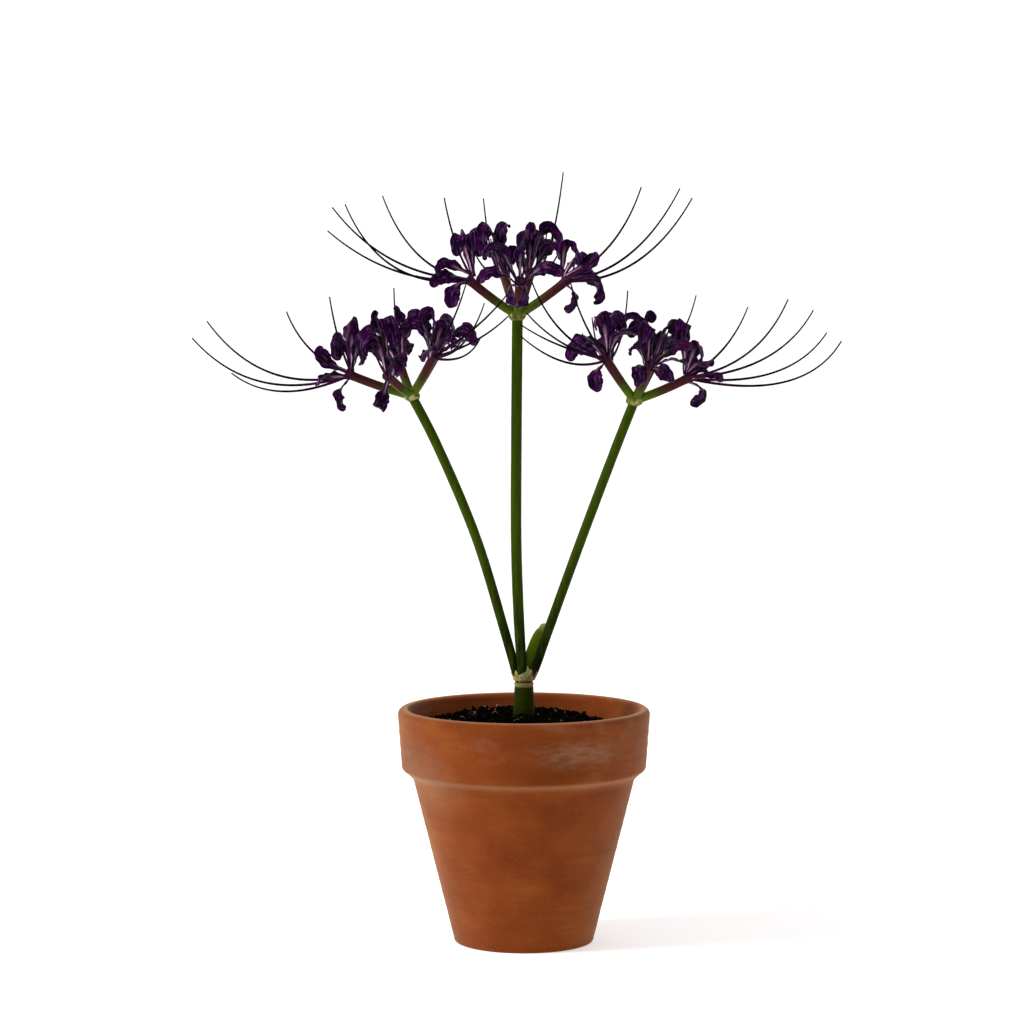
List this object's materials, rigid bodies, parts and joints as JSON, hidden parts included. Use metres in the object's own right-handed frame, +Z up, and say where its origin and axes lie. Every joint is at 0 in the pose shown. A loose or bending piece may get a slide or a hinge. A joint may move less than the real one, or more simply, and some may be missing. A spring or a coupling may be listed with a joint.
{
  "type": "potted spider flower",
  "caption": "Potted spider flower: a clay pot of soil with a short green neck, arching stalks and umbels of dark violet blooms with long curved stamens.",
  "frame": {"origin": "bottom centre of the whole part's box, on the surface that the pot stands on; the pot's own axis stands about 5 mm to the right of it and 2.5 mm towards the viewer", "axes": "+Z up, +X to the right of the viewer in the picture, -Y towards that viewer"},
  "size_m": [0.388, 0.2414, 0.465],
  "materials": {
    "clay": "unglazed, matte, faint throwing lines and chalky bloom",
    "soil": "matte, dark damp potting compost",
    "stalk_green": "satin, fleshy stalk skin",
    "leaf_green": "satin, fleshy leaf skin",
    "papery_collar": "matte, dry papery tissue",
    "petal_violet": "satin, soft crinkled petals"
  },
  "bodies": {
    "root": {"pot": "clay", "soil": "soil", "neck": "stalk_green", "stalk_left": "stalk_green", "stalk_centre": "stalk_green", "stalk_right": "stalk_green", "leaf": "leaf_green", "collar": "papery_collar", "bloom_left_1": "petal_violet", "bloom_left_2": "petal_violet", "bloom_left_3": "petal_violet", "bloom_left_4": "petal_violet", "bloom_left_5": "petal_violet", "bloom_centre_1": "petal_violet", "bloom_centre_2": "petal_violet", "bloom_centre_3": "petal_violet", "bloom_centre_4": "petal_violet", "bloom_centre_5": "petal_violet", "bloom_right_1": "petal_violet", "bloom_right_2": "petal_violet", "bloom_right_3": "petal_violet", "bloom_right_4": "petal_violet", "bloom_right_5": "petal_violet"}
  },
  "joints": []
}
